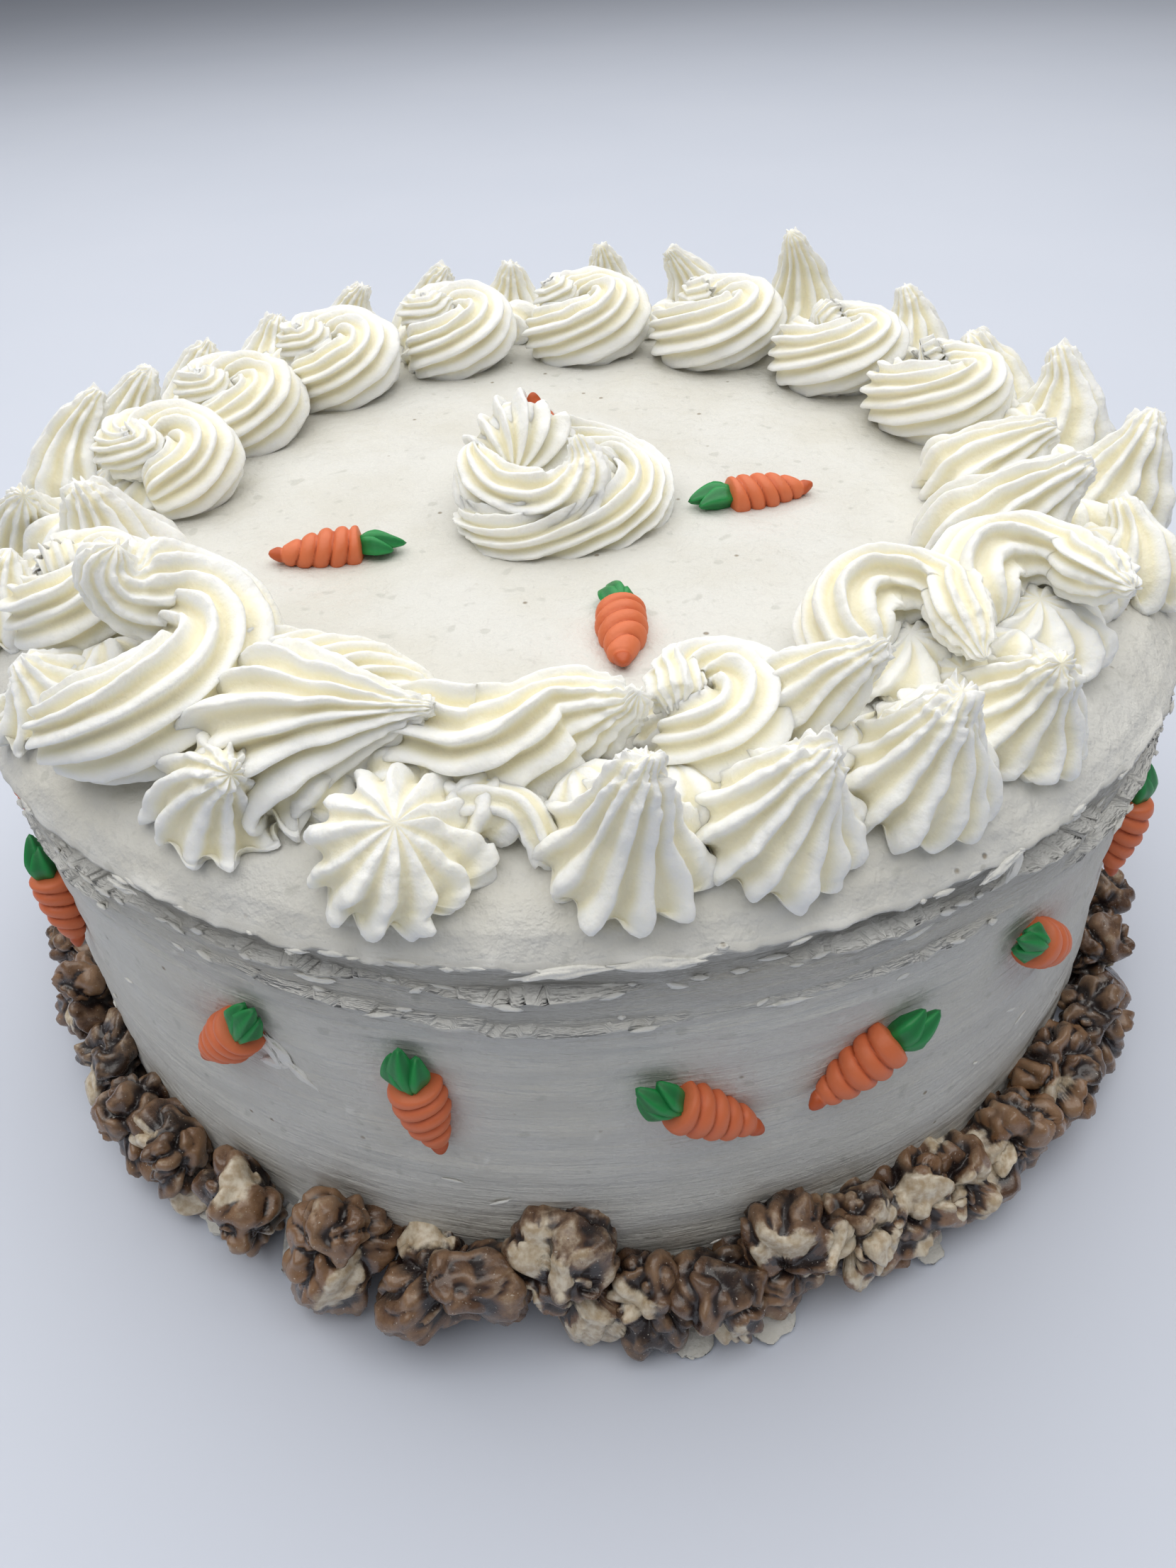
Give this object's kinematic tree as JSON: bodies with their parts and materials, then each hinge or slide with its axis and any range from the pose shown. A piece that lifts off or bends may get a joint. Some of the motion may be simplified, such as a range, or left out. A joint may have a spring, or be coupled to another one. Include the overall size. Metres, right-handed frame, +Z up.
{
  "type": "frosted carrot cake",
  "caption": "Round frosted layer cake with a double piped border, a coiled swirl in the middle, icing carrots and a bank of walnut pieces round the foot.",
  "frame": {"origin": "middle of the cake at the plane it stands on", "axes": "+Z up along the cake's axis, -Y the front, +X the right as seen from the front"},
  "size_m": [0.2599, 0.2593, 0.1276],
  "materials": {
    "frosting": "smooth cream cheese frosting, spread, matt with a slight sheen",
    "piping": "piped cream cheese frosting, ridged, soft sheen",
    "carrot_icing": "set icing, orange root and green leaf, satin",
    "walnut": "walnut skin and pale flesh, uneven, slightly oily"
  },
  "bodies": {
    "root": {"cake_body": "frosting", "centre_swirl": "piping", "inner_swirl_01": "piping", "inner_swirl_02": "piping", "inner_swirl_03": "piping", "inner_swirl_04": "piping", "inner_swirl_05": "piping", "inner_swirl_06": "piping", "inner_swirl_07": "piping", "inner_swirl_08": "piping", "inner_swirl_09": "piping", "inner_swirl_10": "piping", "inner_swirl_11": "piping", "inner_swirl_12": "piping", "inner_swirl_13": "piping", "inner_swirl_14": "piping", "inner_swirl_15": "piping", "inner_swirl_16": "piping", "inner_swirl_17": "piping", "inner_swirl_18": "piping", "inner_swirl_19": "piping", "outer_star_01": "piping", "outer_star_02": "piping", "outer_star_03": "piping", "outer_star_04": "piping", "outer_star_05": "piping", "outer_star_06": "piping", "outer_star_07": "piping", "outer_star_08": "piping", "outer_star_09": "piping", "outer_star_10": "piping", "outer_star_11": "piping", "outer_star_12": "piping", "outer_star_13": "piping", "outer_star_14": "piping", "outer_star_15": "piping", "outer_star_16": "piping", "outer_star_17": "piping", "outer_star_18": "piping", "outer_star_19": "piping", "outer_star_20": "piping", "outer_star_21": "piping", "outer_star_22": "piping", "outer_star_23": "piping", "outer_star_24": "piping", "side_carrot_1": "carrot_icing", "side_carrot_2": "carrot_icing", "side_carrot_3": "carrot_icing", "side_carrot_4": "carrot_icing", "side_carrot_5": "carrot_icing", "side_carrot_6": "carrot_icing", "side_carrot_7": "carrot_icing", "side_carrot_8": "carrot_icing", "top_carrot_back": "carrot_icing", "top_carrot_front": "carrot_icing", "top_carrot_left": "carrot_icing", "top_carrot_right": "carrot_icing", "walnut_ring": "walnut"}
  },
  "joints": []
}
